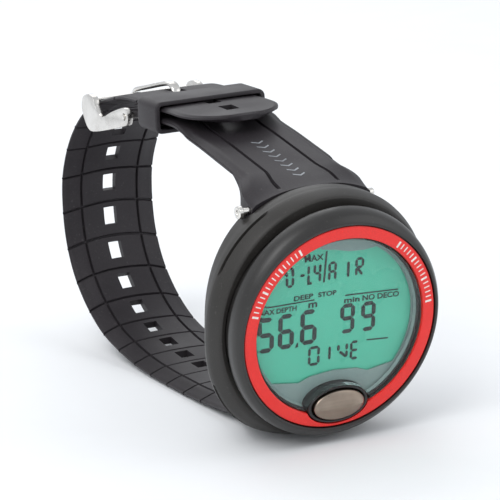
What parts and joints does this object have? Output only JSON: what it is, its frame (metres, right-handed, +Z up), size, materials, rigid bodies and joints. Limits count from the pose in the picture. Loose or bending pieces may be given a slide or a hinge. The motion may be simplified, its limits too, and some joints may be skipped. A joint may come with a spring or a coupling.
{
  "type": "wrist dive computer",
  "caption": "Wrist dive computer with a round case, red dial ring, one mode button and a buckled rubber strap closed into a loop",
  "frame": {"origin": "middle of the bounding box's underside, on the surface that the closed loop stands on", "axes": "+X to the right of somebody facing the dial (3 o'clock), +Y from the dial back through the wrist opening to the far end of the strap, +Z up; the dial leans forward 9.6 degrees"},
  "size_m": [0.0604, 0.1442, 0.079],
  "materials": {
    "case_plastic": "matt",
    "bezel_satin": "satin",
    "ring_red": "gloss",
    "clear_lens": "polished",
    "seal_rubber": "matt",
    "inner_grey": "matt",
    "display_glass": "gloss",
    "white_plastic": "matt",
    "steel": "brushed",
    "satin_steel": "satin",
    "board_green": "gloss",
    "chip_black": "matt",
    "brass": "satin",
    "button_bronze": "satin",
    "strap_rubber": "matt"
  },
  "bodies": {
    "case": {"case_shell": "case_plastic", "bezel_ring": "bezel_satin", "dial_ring": "ring_red", "lens": "clear_lens", "lens_gasket": "seal_rubber", "display_surround": "inner_grey", "display_mask": "inner_grey", "display_chassis": "inner_grey", "display_panel": "display_glass", "backlight": "white_plastic", "display_connector": "seal_rubber", "button_housing": "case_plastic", "switch": "steel", "circuit_board": "board_green", "processor": "chip_black", "pressure_sensor": "steel", "buzzer": "brass", "battery_tray": "inner_grey", "battery_contact": "brass", "coin_cell": "steel", "back_cover": "case_plastic", "back_gasket": "seal_rubber", "back_screw_1": "steel", "back_screw_2": "steel", "back_screw_3": "steel", "back_screw_4": "steel", "upper_lug_pin": "steel", "lower_lug_pin": "steel", "upper_strap": "strap_rubber", "lower_strap": "strap_rubber", "buckle_pin": "steel"},
    "mode_button": {"button_cap": "button_bronze", "button_stem": "steel", "button_oring": "seal_rubber", "button_spring": "steel"},
    "battery_seal": {"battery_oring": "seal_rubber"},
    "battery_hatch": {"battery_cover": "case_plastic"},
    "buckle": {"buckle_frame": "satin_steel"},
    "prong": {"buckle_prong": "satin_steel"},
    "keeper_loop": {"keeper": "strap_rubber"}
  },
  "joints": [
    {"name": "button_press", "type": "slide", "parent": "case", "child": "mode_button", "axis": [0, 0.986, 0.1665], "range_m": [0, 0.001], "stiffness_N_per_m": 2000, "springref_m": -0.0005, "deforming": ["button_spring"]},
    {"name": "battery_cover_lift", "type": "slide", "parent": "case", "child": "battery_seal", "axis": [0, 0.986, 0.1665], "range_m": [0, 0.012]},
    {"name": "battery_cover_turn", "type": "hinge", "parent": "battery_seal", "child": "battery_hatch", "pos_m": [0, -0.04603, 0.03366], "axis": [0, 0.986, 0.1665], "range_deg": [0, 60]},
    {"name": "buckle_tilt", "type": "hinge", "parent": "case", "child": "buckle", "pos_m": [0, 0.01757, 0.07199], "axis": [1, 0, 0], "range_deg": [0, 12]},
    {"name": "prong_swing", "type": "hinge", "parent": "buckle", "child": "prong", "pos_m": [0, 0.01757, 0.07199], "axis": [1, 0, 0], "range_deg": [0, 14]},
    {"name": "keeper_slide", "type": "slide", "parent": "case", "child": "keeper_loop", "axis": [0, 0.9998, 0.0184], "range_m": [-0.004, 0.003]}
  ]
}
